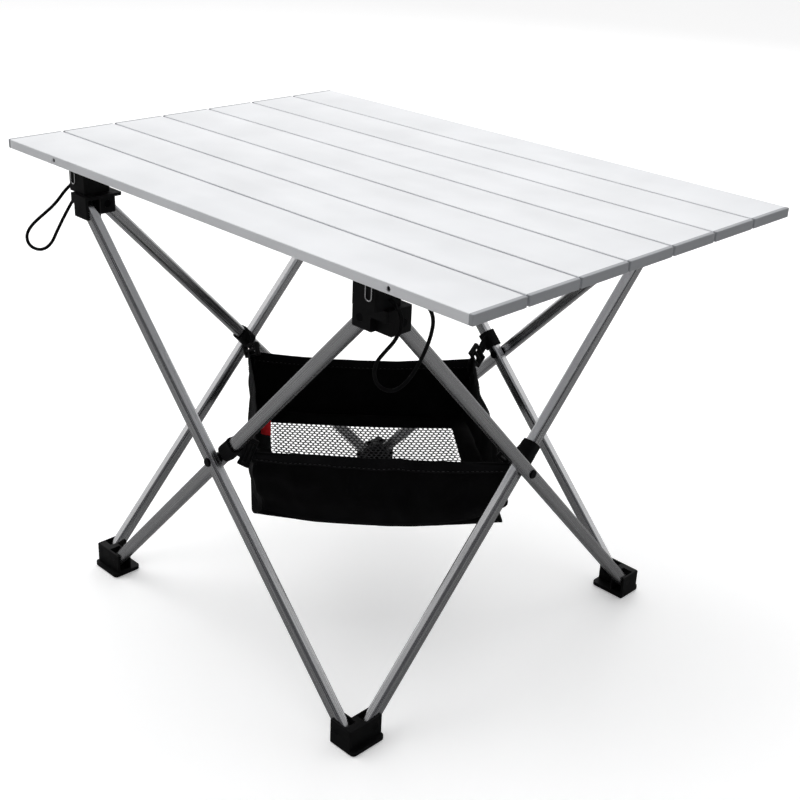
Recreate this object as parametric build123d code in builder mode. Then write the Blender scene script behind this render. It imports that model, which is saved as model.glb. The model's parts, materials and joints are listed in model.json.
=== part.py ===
"""Folding camp kitchen table: a roll-up slatted top on a four-sided scissor frame with a hung basket.

Millimetres, +Z up, origin on the ground under the middle of the table.
The slats run along X. The frame is square, and each of its sides is the one before it turned by 90 degrees.
"""
from build123d import *
import math
import os

os.makedirs("parts", exist_ok=True)

# ---- Top ----
TOP_LENGTH = 560.0
TOP_HEIGHT = 408.6
SLAT_COUNT = 7
SLAT_WIDTH = 53.5
SLAT_GAP = 2.35
SLAT_THICK = 8.2
SLAT_WALL = 1.1
SLAT_CORNER = 0.9
SLAT_CELLS = 3
CAP_LENGTH = 3.4
CAP_TONGUE = 9.0
CAP_SLACK = 0.12
CAP_ROUND = 0.7
SLAT_PITCH = SLAT_WIDTH + SLAT_GAP
SLAT_MID_Z = TOP_HEIGHT - SLAT_THICK / 2
SLAT_UNDER_Z = TOP_HEIGHT - SLAT_THICK
OUTER_SLAT_Y = SLAT_PITCH * (SLAT_COUNT - 1) / 2

# ---- Elastic cords ----
CORD_DIA = 2.8
CORD_X = 205.0
CORD_HOLE_R = 1.9
CORD_KNOT_R = 2.7

# ---- Frame ----
SIDE = 181.0
TUBE_STEP = 5.6
TUBE_DEEP = 10.0
TUBE_HIGH = 11.0
TUBE_CORNER = 3.0
TUBE_WALL = 1.0
TUBE_END = 6.0
OUTER = SIDE + TUBE_STEP
INNER = SIDE - TUBE_STEP
PIN_OUT = 166.5
FOOT_PIN_Z = 15.0
HUB_PIN_Z = 370.0
PIN_R = 2.0
PIN_HEAD_R = 3.3
PIN_HEAD = 0.9
PIN_FIT = 0.05
PIN_SHORT = 0.1
PIN_SUNK = 0.15
PIVOT_FIT = 0.08
LOOSE_FIT = 0.4
RIVET_HEAD_R = 4.2
RIVET_HEAD = 1.3
RIVET_TAPER = 32
RIVET_GRIP = 0.3
WASHER_R = 5.2
WASHER_THICK = 0.85
CROSS_Z = (FOOT_PIN_Z + HUB_PIN_Z) / 2
TUBE_SPAN = math.hypot(2 * PIN_OUT, HUB_PIN_Z - FOOT_PIN_Z)

# ---- Hubs, feet and brackets ----
SLOT_HALF = 5.3
SLOT_R = 8.8
SLOT_SET_BACK = 4.0
CHEEK = 2.0
BLOCK_CORNER = 1.6
BLOCK_ROUND = 1.4
ARCH_HEIGHT = 11.5
HUB_BOTTOM = 361.5
HUB_TOP = 381.5
MOUTH = 158.0
FOOT_HEIGHT = 23.0
PAD_THICK = 4.0
PAD_FLARE = 4.0
PAD_CORNER = 4.0
PAD_ROUND = 0.8
BOSS_PLACE = 174.0
BOSS_R = 7.4
BOSS_HEIGHT = 4.0
BOSS_TAPER = 45
BOSS_SLACK = 0.8
SHANK_R = 3.0
SHANK_DEEP = 2.0
BRACKET_IN = 165.0
BRACKET_OUT = 190.0
BRACKET_GAP = 0.3
BRACKET_CORNER = 2.0
BRACKET_BOTTOM = HUB_TOP + BRACKET_GAP
WIRE_DIA = 1.0
WIRE_HALF = 3.0
WIRE_DROP = 9.0
WIRE_SINK = 0.4
WIRE_PLACE = BRACKET_OUT - 7.5

# ---- Basket ----
BASKET_SOUTH = (5.0, -150.0)
BASKET_EAST = (166.0, 5.0)
BASKET_NORTH = (-8.0, 150.0)
BASKET_WEST = (-168.0, -13.0)
RIM_Z = 190.0
BASKET_BOTTOM = 123.0
WALL_THICK = 1.6
FLOOR_THICK = 1.4
CLOTH_GAP = 0.4
WEB_WIDTH = 17.0
WEB_THICK = 1.3
BAND_ROOM = 0.4
BAND_UP = 16.0
TAIL_GAP = 2.0
BUCKLE_ROOM = 12.0
BUCKLE_DEEP = 9.0
BUCKLE_WIDE = 25.0
BUCKLE_THICK = 5.0
BUCKLE_CORNER = 2.0

SIDES = {"south": 0, "east": 90, "north": 180, "west": 270}
CORNERS = {"sw": 0, "se": 90, "ne": 180, "nw": 270}


def side_plane(turn, out):
    """Upright plane of one side: X runs along the side, Y goes up and Z points outwards."""
    along = Vector(1, 0, 0).rotate(Axis.Z, turn)
    outward = Vector(0, -1, 0).rotate(Axis.Z, turn)
    return Plane(origin=outward * out, x_dir=along, z_dir=outward)


def level_plane(turn, height):
    """Level plane at a height, turned with one corner of the frame."""
    return Plane(origin=(0, 0, height), x_dir=Vector(1, 0, 0).rotate(Axis.Z, turn), z_dir=(0, 0, 1))


def save(part, name):
    """Labels a finished piece and writes it under its name."""
    part.label = name
    export_step(part, f"parts/{name}.step")


# ---- Slats, end caps and the elastic cords through them ----
cell_width = (SLAT_WIDTH - SLAT_WALL * (SLAT_CELLS + 1)) / SLAT_CELLS
cell_height = SLAT_THICK - 2 * SLAT_WALL
cell_pitch = cell_width + SLAT_WALL
body_length = TOP_LENGTH - 2 * CAP_LENGTH

for index in range(SLAT_COUNT):
    slat_y = (index - (SLAT_COUNT - 1) / 2) * SLAT_PITCH
    number = index + 1
    with BuildPart() as slat:
        with BuildSketch(Plane.YZ.offset(-body_length / 2)):
            with Locations((slat_y, SLAT_MID_Z)):
                RectangleRounded(SLAT_WIDTH, SLAT_THICK, SLAT_CORNER)
                with GridLocations(cell_pitch, 0, SLAT_CELLS, 1):
                    Rectangle(cell_width, cell_height, mode=Mode.SUBTRACT)
        extrude(amount=body_length)
        with BuildSketch(Plane.XZ.offset(-slat_y + SLAT_WIDTH / 2)):
            with Locations((-CORD_X, SLAT_MID_Z), (CORD_X, SLAT_MID_Z)):
                Circle(CORD_HOLE_R)
        extrude(amount=-SLAT_WIDTH, mode=Mode.SUBTRACT)
    save(slat.part, f"slat_{number}")

    with BuildPart() as caps:
        for end in (-1, 1):
            start = Plane.YZ.offset(end * body_length / 2)
            with BuildSketch(start):
                with Locations((slat_y, SLAT_MID_Z)):
                    RectangleRounded(SLAT_WIDTH, SLAT_THICK, SLAT_CORNER)
            extrude(amount=end * CAP_LENGTH)
            with BuildSketch(start):
                with Locations((slat_y, SLAT_MID_Z)):
                    with GridLocations(cell_pitch, 0, SLAT_CELLS, 1):
                        Rectangle(cell_width - 2 * CAP_SLACK, cell_height - 2 * CAP_SLACK)
            extrude(amount=-end * CAP_TONGUE)
        outer_faces = caps.faces().filter_by(Axis.X).group_by(Axis.X)
        fillet(outer_faces[0].edges() + outer_faces[-1].edges(), CAP_ROUND)
    save(caps.part, f"slat_{number}_end_caps")

with BuildPart() as shock_cords:
    reach = OUTER_SLAT_Y + cell_pitch / 2 + cell_width / 4
    for cord_x in (-CORD_X, CORD_X):
        with BuildSketch(Plane.XZ.offset(reach)):
            with Locations((cord_x, SLAT_MID_Z)):
                Circle(CORD_DIA / 2)
        extrude(amount=-2 * reach)
        for knot_y in (-reach, reach):
            with Locations((cord_x, knot_y, SLAT_MID_Z)):
                Sphere(CORD_KNOT_R)
save(shock_cords.part, "shock_cords")


# ---- Hanging ends of the cords: each leaves its bracket, hangs in a loop and goes back in ----
LOOP_SW = [
    (-189.5, -183.5, 388.5),
    (-197.0, -187.5, 382.0),
    (-205.5, -195.5, 366.0),
    (-214.5, -205.0, 354.5),
    (-221.5, -211.5, 345.5),
    (-225.5, -215.0, 336.0),
    (-223.5, -213.5, 326.5),
    (-216.0, -207.0, 323.0),
    (-209.0, -200.5, 329.0),
    (-204.0, -196.0, 343.0),
    (-198.5, -190.0, 358.5),
    (-192.5, -185.5, 371.0),
    (-187.5, -180.5, 382.5),
]
LOOP_SE = [
    (189.5, -167.0, 388.0),
    (199.5, -167.5, 388.5),
    (208.0, -162.0, 389.5),
    (214.5, -158.0, 379.0),
    (213.0, -159.0, 363.0),
    (209.0, -162.0, 348.0),
    (206.0, -167.0, 336.0),
    (203.5, -174.5, 327.5),
    (199.5, -182.5, 324.0),
    (193.0, -187.5, 327.0),
    (188.5, -188.5, 334.0),
    (189.0, -188.0, 343.5),
    (194.5, -186.0, 352.5),
    (200.5, -181.0, 362.5),
    (202.0, -176.5, 372.5),
    (199.0, -175.5, 383.0),
    (189.5, -176.5, 388.5),
]


def bend_radii(points, name):
    """The largest arc that each corner of a route leaves room for."""
    radii = []
    for before, here, after in zip(points, points[1:], points[2:]):
        arriving = Vector(here) - Vector(before)
        leaving = Vector(after) - Vector(here)
        half_turn = math.radians(arriving.get_angle(leaving)) / 2
        radii.append(0.45 * min(arriving.length, leaving.length) / math.tan(half_turn))
    print(name, "bend radii", [round(radius, 1) for radius in radii])
    return radii


for name, route in (("cord_loop_sw", LOOP_SW), ("cord_loop_se", LOOP_SE)):
    with BuildPart() as loop:
        with BuildLine() as path:
            FilletPolyline(*route, radius=bend_radii(route, name))
        with BuildSketch(Plane(origin=path.line @ 0, z_dir=path.line % 0)):
            Circle(CORD_DIA / 2)
        sweep()
    length = path.wire().length
    section = math.pi * (CORD_DIA / 2) ** 2
    print(name, "length", round(length, 1), "volume over section times length",
          round(loop.part.volume / (section * length), 4))
    save(loop.part, name)


# ---- Tubes ----
# A hole at an end that closes a loop of the linkage gets more clearance.
LOOSE_ENDS = {("east", "outer"): ["hub"], ("west", "outer"): ["hub", "foot"],
              ("north", "inner"): ["foot"], ("west", "inner"): ["foot"]}

for side, turn in SIDES.items():
    for layer, out, lean in (("outer", OUTER, 1), ("inner", INNER, -1)):
        plane = side_plane(turn, out)
        foot_pin = plane.from_local_coords(Vector(lean * PIN_OUT, FOOT_PIN_Z, 0))
        hub_pin = plane.from_local_coords(Vector(-lean * PIN_OUT, HUB_PIN_Z, 0))
        axis = (hub_pin - foot_pin).normalized()
        loose = LOOSE_ENDS.get((side, layer), [])
        with BuildPart() as tube:
            with BuildSketch(Plane(origin=foot_pin - axis * TUBE_END, x_dir=plane.z_dir, z_dir=axis)):
                RectangleRounded(TUBE_DEEP, TUBE_HIGH, TUBE_CORNER)
                RectangleRounded(TUBE_DEEP - 2 * TUBE_WALL, TUBE_HIGH - 2 * TUBE_WALL,
                                 TUBE_CORNER - TUBE_WALL, mode=Mode.SUBTRACT)
            extrude(amount=TUBE_SPAN + 2 * TUBE_END)
            with BuildSketch(side_plane(turn, out + TUBE_DEEP)):
                with Locations((lean * PIN_OUT, FOOT_PIN_Z)):
                    Circle(PIN_R + (LOOSE_FIT if "foot" in loose else PIVOT_FIT))
                with Locations((-lean * PIN_OUT, HUB_PIN_Z)):
                    Circle(PIN_R + (LOOSE_FIT if "hub" in loose else PIVOT_FIT))
                with Locations((0, CROSS_Z)):
                    Circle(PIN_R + (PIN_FIT if layer == "outer" else PIVOT_FIT))
            extrude(amount=-2 * TUBE_DEEP, mode=Mode.SUBTRACT)
        save(tube.part, f"tube_{side}_{layer}")

    with BuildPart() as rivet:
        far = OUTER + TUBE_DEEP / 2
        near = INNER - TUBE_DEEP / 2 - RIVET_GRIP
        with BuildSketch(side_plane(turn, near)):
            with Locations((0, CROSS_Z)):
                Circle(PIN_R)
        extrude(amount=far - near)
        for face, way in ((far, 1), (near, -1)):
            with BuildSketch(side_plane(turn, face)):
                with Locations((0, CROSS_Z)):
                    Circle(RIVET_HEAD_R)
            extrude(amount=way * RIVET_HEAD, taper=RIVET_TAPER)
        with BuildSketch(side_plane(turn, OUTER - TUBE_DEEP / 2)):
            with Locations((0, CROSS_Z)):
                Circle(WASHER_R)
                Circle(PIN_R + PIN_FIT, mode=Mode.SUBTRACT)
        extrude(amount=-WASHER_THICK)
    save(rivet.part, f"cross_rivet_{side}")


# ---- Hubs and feet ----
# Both are drawn for one corner and turned to the others.
# An outer tube enters along X, and an inner tube along Y.
# In a hub they come in from +X and +Y of the corner, and in a foot the tube along X comes in from -X.
def cut_slots(low_z, high_z, pin_z, turn, flip):
    """Cuts the two tube slots of a hub or foot, open at the low or high end, with their pin holes."""
    swing_end = PIN_OUT + SLOT_R
    mouth = MOUTH - SLOT_SET_BACK
    with BuildSketch(level_plane(turn, low_z)) as slots:
        with Locations((-flip * (swing_end + mouth) / 2, -OUTER)):
            Rectangle(swing_end - mouth, 2 * SLOT_HALF)
        with Locations((-flip * INNER, -(swing_end + mouth) / 2)):
            Rectangle(2 * SLOT_HALF, swing_end - mouth)
    extrude(slots.sketch, amount=high_z - low_z, mode=Mode.SUBTRACT)
    reach = SLOT_HALF + CHEEK + 1
    for plane, centre in pin_places(turn, flip):
        for start, depth, radius in ((reach, 2 * reach, PIN_R + PIN_FIT),
                                     (reach, 1 + PIN_HEAD, PIN_HEAD_R + PIN_FIT),
                                     (1 + PIN_HEAD - reach, 1 + PIN_HEAD, PIN_HEAD_R + PIN_FIT)):
            with BuildSketch(plane.offset(start)) as hole:
                with Locations((centre, pin_z)):
                    Circle(radius)
            extrude(hole.sketch, amount=-depth, mode=Mode.SUBTRACT)


def pin_places(turn, flip):
    """The two tubes held at a corner: the side plane that each lies in, and its pin's place along it."""
    return ((side_plane(turn, OUTER), -flip * PIN_OUT),
            (side_plane(turn - flip * 90, INNER), flip * PIN_OUT))


def arm_plan(flip, along, across, in_along, in_across, radius):
    """Plan of a corner block as a rectangle between its outer and inner reach."""
    with Locations((-flip * (along + in_along) / 2, -(across + in_across) / 2)):
        RectangleRounded(along - in_along, across - in_across, radius)


OUT_ALONG = INNER + SLOT_HALF + CHEEK
OUT_ACROSS = OUTER + SLOT_HALF + CHEEK
IN_ALONG = INNER - SLOT_HALF - CHEEK
IN_ACROSS = OUTER - SLOT_HALF - CHEEK


def build_pins(pin_z, turn, flip, stud=False):
    """The two headed pins of a hub or foot, each across one slot, and a hub's locating stud."""
    with BuildPart() as pins:
        for plane, centre in pin_places(turn, flip):
            half = SLOT_HALF + CHEEK - PIN_SHORT
            with BuildSketch(plane.offset(-half)):
                with Locations((centre, pin_z)):
                    Circle(PIN_R)
            extrude(amount=2 * half)
            for face, way in ((half, -1), (-half, 1)):
                with BuildSketch(plane.offset(face)):
                    with Locations((centre, pin_z)):
                        Circle(PIN_HEAD_R)
                extrude(amount=way * (PIN_HEAD - PIN_SUNK))
        if stud:
            for amount, radius, taper in ((PIN_SHORT - SHANK_DEEP, SHANK_R, 0),
                                          (BOSS_HEIGHT, BOSS_R, BOSS_TAPER)):
                with BuildSketch(level_plane(turn, HUB_TOP)):
                    with Locations((-BOSS_PLACE, -BOSS_PLACE)):
                        Circle(radius)
                extrude(amount=amount, taper=taper)
    return pins.part


for corner, turn in CORNERS.items():
    # Hub: a top plate over two slotted arms, with a bore for the stud that locates the bracket.
    with BuildPart() as hub:
        with BuildSketch(level_plane(turn, HUB_BOTTOM)):
            arm_plan(1, OUT_ALONG, OUT_ACROSS, MOUTH, IN_ACROSS, BLOCK_CORNER)
            arm_plan(1, OUT_ALONG, OUT_ACROSS, IN_ALONG, MOUTH, BLOCK_CORNER)
        extrude(amount=HUB_TOP - HUB_BOTTOM)
        bottom_edges = hub.faces().sort_by(Axis.Z)[0].edges()
        fillet(bottom_edges, BLOCK_ROUND)
        plate_z = HUB_PIN_Z + SLOT_R
        with BuildSketch(level_plane(turn, plate_z)):
            arm_plan(1, OUT_ALONG, OUT_ACROSS, MOUTH, MOUTH, BLOCK_CORNER)
        extrude(amount=HUB_TOP - plate_z)
        with BuildSketch(level_plane(turn, HUB_TOP)):
            with Locations((-BOSS_PLACE, -BOSS_PLACE)):
                Circle(SHANK_R + PIN_FIT)
        extrude(amount=-SHANK_DEEP, mode=Mode.SUBTRACT)
        cut_slots(HUB_BOTTOM - 1, plate_z, HUB_PIN_Z, turn, 1)
        # The block is cut away in an arch under its outer corner, between the arms.
        arch = PIN_OUT + SLOT_R + CHEEK
        past = 2 * CHEEK
        with BuildSketch(level_plane(turn, HUB_BOTTOM - 1)):
            with Locations((-(arch + OUT_ALONG + past) / 2, -(arch + OUT_ACROSS + past) / 2)):
                Rectangle(OUT_ALONG + past - arch, OUT_ACROSS + past - arch)
        extrude(amount=ARCH_HEIGHT + 1, mode=Mode.SUBTRACT)
    save(hub.part, f"hub_{corner}")
    save(build_pins(HUB_PIN_Z, turn, 1, stud=True), f"hub_pins_{corner}")

for corner, turn in CORNERS.items():
    # Foot: a flared pad under two slotted arms. Its corner is the one after the hub's on the same side.
    lap = turn - 90
    with BuildPart() as foot:
        with BuildSketch(level_plane(lap, 0)):
            arm_plan(-1, OUT_ALONG + PAD_FLARE, OUT_ACROSS, MOUTH, MOUTH, PAD_CORNER)
        extrude(amount=PAD_THICK)
        with BuildSketch(level_plane(lap, 0)):
            arm_plan(-1, OUT_ALONG, OUT_ACROSS, MOUTH, IN_ACROSS, BLOCK_CORNER)
            arm_plan(-1, OUT_ALONG, OUT_ACROSS, IN_ALONG, MOUTH, BLOCK_CORNER)
        extrude(amount=FOOT_HEIGHT)
        fillet(foot.faces().sort_by(Axis.Z)[-1].edges(), BLOCK_ROUND)
        fillet(foot.faces().sort_by(Axis.Z)[0].edges(), PAD_ROUND)
        cut_slots(FOOT_PIN_Z - SLOT_R, FOOT_HEIGHT + 1, FOOT_PIN_Z, lap, -1)
    save(foot.part, f"foot_{corner}")
    save(build_pins(FOOT_PIN_Z, lap, -1), f"foot_pins_{corner}")


# ---- Brackets under the outer slats, with a sprung wire latch in each ----
for name, way in (("front", -1), ("rear", 1)):
    with BuildPart() as brackets:
        for x_way in (-1, 1):
            centre = (x_way * (BRACKET_IN + BRACKET_OUT) / 2, way * (BRACKET_IN + BRACKET_OUT) / 2)
            with BuildSketch(Plane.XY.offset(BRACKET_BOTTOM)):
                with Locations(centre):
                    RectangleRounded(BRACKET_OUT - BRACKET_IN, BRACKET_OUT - BRACKET_IN, BRACKET_CORNER)
            extrude(amount=SLAT_UNDER_Z - BRACKET_BOTTOM)
            with BuildSketch(Plane.XY.offset(BRACKET_BOTTOM)):
                with Locations((x_way * BOSS_PLACE, way * BOSS_PLACE)):
                    Circle(BOSS_R + BOSS_SLACK)
            extrude(amount=BOSS_HEIGHT + BOSS_SLACK, taper=BOSS_TAPER, mode=Mode.SUBTRACT)
    save(brackets.part, f"brackets_{name}")

    with BuildPart() as wires:
        for x_way in (-1, 1):
            middle = x_way * WIRE_PLACE
            face_y = way * (BRACKET_OUT + WIRE_DIA / 2)
            top_z = SLAT_UNDER_Z - WIRE_SINK
            turn_z = SLAT_UNDER_Z - WIRE_DROP
            with BuildLine() as bow:
                Line((middle - WIRE_HALF, face_y, top_z), (middle - WIRE_HALF, face_y, turn_z))
                ThreePointArc((middle - WIRE_HALF, face_y, turn_z), (middle, face_y, turn_z - WIRE_HALF),
                              (middle + WIRE_HALF, face_y, turn_z))
                Line((middle + WIRE_HALF, face_y, turn_z), (middle + WIRE_HALF, face_y, top_z))
            with BuildSketch(Plane(origin=bow.line @ 0, z_dir=bow.line % 0)):
                Circle(WIRE_DIA / 2)
            sweep(path=bow.line)
    save(wires.part, f"latch_wires_{name}")


# ---- Basket: four fabric walls, a mesh floor in two halves, and a webbing strap at each corner ----
def upright_panel(start, end, low_z, high_z, thickness, trim):
    """A flat upright panel between two points in plan, trimmed at both ends."""
    run = Vector(*end) - Vector(*start)
    way = run.normalized()
    centre = (Vector(*start) + Vector(*end)) * 0.5
    with BuildPart() as panel:
        with BuildSketch(Plane(origin=(centre.X, centre.Y, low_z), x_dir=way, z_dir=(0, 0, 1))):
            Rectangle(run.length - 2 * trim, thickness)
        extrude(amount=high_z - low_z)
    return panel.part


WALLS = {"south_east": (BASKET_SOUTH, BASKET_EAST), "north_east": (BASKET_EAST, BASKET_NORTH),
         "north_west": (BASKET_NORTH, BASKET_WEST), "south_west": (BASKET_WEST, BASKET_SOUTH)}
for name, (start, end) in WALLS.items():
    wall = upright_panel(start, end, BASKET_BOTTOM, RIM_Z, WALL_THICK, WALL_THICK)
    save(wall, f"basket_wall_{name}")


def midpoint(first, second, gap):
    """The middle of two points, moved by a gap towards the first wall of the pair."""
    return ((first[0] + second[0]) / 2 + gap[0], (first[1] + second[1]) / 2 + gap[1])


FLOOR_HALVES = {"south_east": (BASKET_SOUTH, BASKET_EAST, BASKET_NORTH, BASKET_WEST, (0.3, -0.3)),
                "north_west": (BASKET_NORTH, BASKET_WEST, BASKET_SOUTH, BASKET_EAST, (-0.3, 0.3))}
for name, (first, second, third, fourth, gap) in FLOOR_HALVES.items():
    with BuildPart() as floor_half:
        with BuildSketch(Plane.XY.offset(BASKET_BOTTOM - CLOTH_GAP - FLOOR_THICK)):
            with BuildLine():
                far_end, near_end = midpoint(second, third, gap), midpoint(fourth, first, gap)
                Polyline(first, second, far_end, near_end, close=True)
            make_face()
        extrude(amount=FLOOR_THICK)
    save(floor_half.part, f"basket_floor_{name}")

lean_angle = math.degrees(math.atan2(HUB_PIN_Z - FOOT_PIN_Z, 2 * PIN_OUT))
ANCHORS = {"south": BASKET_SOUTH, "east": BASKET_EAST, "north": BASKET_NORTH, "west": BASKET_WEST}
for side, turn in SIDES.items():
    plane = side_plane(turn, INNER)
    inner_way = Vector(math.cos(math.radians(lean_angle)), math.sin(math.radians(lean_angle)), 0)
    band_at = Vector(0, CROSS_Z, 0) + inner_way * BAND_UP
    centre = plane.from_local_coords(band_at)
    axis = plane.from_local_coords(band_at + inner_way) - centre
    corner = Vector(*ANCHORS[side], RIM_Z - WEB_WIDTH / 2)
    with BuildPart() as strap:
        # The webbing goes round the inner tube in a band just above the crossing.
        with BuildSketch(Plane(origin=centre - axis * (WEB_WIDTH / 2), x_dir=plane.z_dir, z_dir=axis)):
            band_deep = TUBE_DEEP + 2 * (BAND_ROOM + WEB_THICK)
            band_high = TUBE_HIGH + 2 * (BAND_ROOM + WEB_THICK)
            RectangleRounded(band_deep, band_high, TUBE_CORNER + WEB_THICK)
            RectangleRounded(TUBE_DEEP + 2 * BAND_ROOM, TUBE_HIGH + 2 * BAND_ROOM, TUBE_CORNER,
                             mode=Mode.SUBTRACT)
        extrude(amount=WEB_WIDTH)
        # A short upright tail joins the band to the basket's corner, through a buckle where there is room.
        inside = plane.from_local_coords(band_at - Vector(0, 0, TUBE_DEEP / 2 + BAND_ROOM + WEB_THICK / 2))
        level_run = Vector(inside.X - corner.X, inside.Y - corner.Y, 0)
        start = corner + level_run.normalized() * TAIL_GAP
        reach = level_run.length - TAIL_GAP
        rise = inside.Z - corner.Z
        half = WEB_WIDTH / 2
        tail_plane = Plane(origin=start, x_dir=level_run, z_dir=level_run.cross(Vector(0, 0, 1)))
        with BuildSketch(tail_plane):
            Polygon((0, -half), (reach, rise - half), (reach, rise + half), (0, half), align=None)
        extrude(amount=WEB_THICK / 2, both=True)
        if reach > BUCKLE_ROOM:
            middle = Vector(reach / 2, rise / 2)
            with BuildSketch(tail_plane):
                with Locations(middle):
                    RectangleRounded(BUCKLE_DEEP, BUCKLE_WIDE, BUCKLE_CORNER)
            extrude(amount=BUCKLE_THICK / 2, both=True)
    save(strap.part, f"corner_strap_{side}")
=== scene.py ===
"""Looks of the folding camp kitchen table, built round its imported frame.

Metres, +Z up, origin on the ground under the middle of the table. The slats run along X.
"""

import json
import math

import bmesh
import bpy
from mathutils import Matrix, Vector, noise


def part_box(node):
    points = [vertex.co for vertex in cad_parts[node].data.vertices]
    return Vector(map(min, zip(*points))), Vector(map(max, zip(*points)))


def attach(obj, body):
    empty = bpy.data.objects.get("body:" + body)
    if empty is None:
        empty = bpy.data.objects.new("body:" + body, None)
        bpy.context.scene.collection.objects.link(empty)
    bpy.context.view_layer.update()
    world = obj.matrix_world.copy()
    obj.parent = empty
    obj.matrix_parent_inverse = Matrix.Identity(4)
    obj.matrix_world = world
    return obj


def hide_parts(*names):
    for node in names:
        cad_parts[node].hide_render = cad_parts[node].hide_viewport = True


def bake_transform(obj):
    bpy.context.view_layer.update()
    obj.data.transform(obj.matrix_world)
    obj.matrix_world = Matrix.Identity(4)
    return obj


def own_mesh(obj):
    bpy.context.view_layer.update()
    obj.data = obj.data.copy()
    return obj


bl_info = {
    "name": "Camp kitchen table",
    "version": (1, 0, 0),
    "blender": (4, 5, 0),
    "location": "View3D > Sidebar > Camp Table",
    "description": "Builds the looks of a folding camp table round its fixed frame",
    "category": "Object",
}

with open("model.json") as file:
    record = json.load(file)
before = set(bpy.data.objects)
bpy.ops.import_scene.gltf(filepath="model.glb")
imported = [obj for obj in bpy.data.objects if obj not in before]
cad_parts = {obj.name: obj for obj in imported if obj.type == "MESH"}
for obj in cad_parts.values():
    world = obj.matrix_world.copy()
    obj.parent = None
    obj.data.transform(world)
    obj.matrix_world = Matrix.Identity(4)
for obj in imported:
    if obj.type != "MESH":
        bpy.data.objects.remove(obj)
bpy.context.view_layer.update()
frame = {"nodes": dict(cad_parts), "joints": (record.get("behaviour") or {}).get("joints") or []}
JOINTS = {joint["name"]: joint for joint in frame["joints"]}
MM = 0.001
UP = Vector((0, 0, 1))

# The frame's four sides: the turn of each, and the joint at the hub end of its inner tube.
SIDES = {"south": 0, "east": 90, "north": 180, "west": 270}
HUB_ENDS = {"south": "hub_se_level", "east": "hub_ne_level",
            "north": "hub_nw_level", "west": "hub_sw_inner_tube"}
# Each basket wall: the corners that it runs between. It rides with the first one.
WALLS = {"south_east": ("south", "east"), "north_east": ("east", "north"),
         "north_west": ("north", "west"), "south_west": ("west", "south")}
# How far the lower corner of the basket hangs above its middle, below each strap.
CORNER_LIFTS = {"south": 7 * MM, "east": 17 * MM, "north": 9 * MM, "west": 8 * MM}
FLOOR_HALVES = {"south_east": ("south", "east", "north", "west"),
                "north_west": ("north", "west", "south", "east")}

# Routes of the two hanging cord loops, out of a front bracket and back into it.
LOOP_ROUTES = {
    "cord_loop_sw": [
        (-0.1895, -0.1835, 0.3885), (-0.1970, -0.1875, 0.3820), (-0.2055, -0.1955, 0.3660),
        (-0.2145, -0.2050, 0.3545), (-0.2215, -0.2115, 0.3455), (-0.2255, -0.2150, 0.3360),
        (-0.2235, -0.2135, 0.3265), (-0.2160, -0.2070, 0.3230), (-0.2090, -0.2005, 0.3290),
        (-0.2040, -0.1960, 0.3430), (-0.1985, -0.1900, 0.3585), (-0.1925, -0.1855, 0.3710),
        (-0.1875, -0.1805, 0.3825)],
    "cord_loop_se": [
        (0.1895, -0.1670, 0.3880), (0.1995, -0.1675, 0.3885), (0.2080, -0.1620, 0.3895),
        (0.2145, -0.1580, 0.3790), (0.2130, -0.1590, 0.3630), (0.2090, -0.1620, 0.3480),
        (0.2060, -0.1670, 0.3360), (0.2035, -0.1745, 0.3275), (0.1995, -0.1825, 0.3240),
        (0.1930, -0.1875, 0.3270), (0.1885, -0.1885, 0.3340), (0.1890, -0.1880, 0.3435),
        (0.1945, -0.1860, 0.3525), (0.2005, -0.1810, 0.3625), (0.2020, -0.1765, 0.3725),
        (0.1990, -0.1755, 0.3830), (0.1895, -0.1765, 0.3885)],
}
# The knots at the ends of the shock cords are the widest part of that node.
KNOT_RADIUS = 2.7 * MM
CORD_STEPS = 24

# Section of a tube: across the frame's side, and within it.
TUBE_DEEP = 10 * MM
TUBE_TALL = 11 * MM
# The webbing bands sit on the inner tubes, just above the crossings, and the tails meet their inner face.
BAND_RISE = 16 * MM
BAND_CORNER = 3 * MM
BAND_ROOM = 0.5 * MM
BAND_FACE = 6 * MM
SEWN_IN = 9 * MM

# A ladder-lock buckle: its frame, its two rails and its three bars.
BUCKLE_WIDE = 25 * MM
BUCKLE_DEEP = 14 * MM
BUCKLE_THICK = 4.5 * MM
BUCKLE_RAIL = 3.6 * MM
BUCKLE_BAR = 2.6 * MM
BUCKLE_ROUND = 0.9 * MM
TAIL_GAP = 6 * MM

# Tape over the rim, and the stitches that hold it.
TAPE_THICK = 0.5 * MM
TAPE_LENGTH = 0.224
TAPE_CROWN = 0.7 * MM
STITCHES = 52
STITCH_SIZE = (1.35 * MM, 0.22 * MM, 0.28 * MM, 1)
STITCH_OUT = 1.05 * MM
STITCH_DOWN = 0.82

# Folds of the basket's cloth: how deep it crumples at a corner and ripples in the floor, how fast a
# corner's pull fades along a wall, and the depths of drape and creases as shares of the broad folds.
CRUMPLE = 9 * MM
RIPPLE = 1.6 * MM
CORNER_REACH = 5
DRAPE_SHARE = 0.5
CREASE_SHARE = 0.18
SEED_STEP = 9.7

# Each tab: its place along the south-west rim, its width and length, and its top edge's drop.
TABS = {"red_tab": (0.64, 9 * MM, 18 * MM, -1 * MM), "dark_tab": (0.66, 8 * MM, 11 * MM, 17 * MM)}
TAB_IN = 5 * MM
TAB_SLANT = 2 * MM
TAB_CURL = 1.2 * MM
TAB_THICK = 0.6 * MM
TAB_ROUND = 0.15 * MM

# Most of a noise texture's values lie between these two.
NOISE_LOW = 0.3
NOISE_HIGH = 0.7


# ---- What a user may change ----
def colour_prop(name, description, default):
    """A colour, as linear red, green and blue."""
    return bpy.props.FloatVectorProperty(name=name, description=description, default=default,
                                         subtype="COLOR", min=0, max=1)


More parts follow.
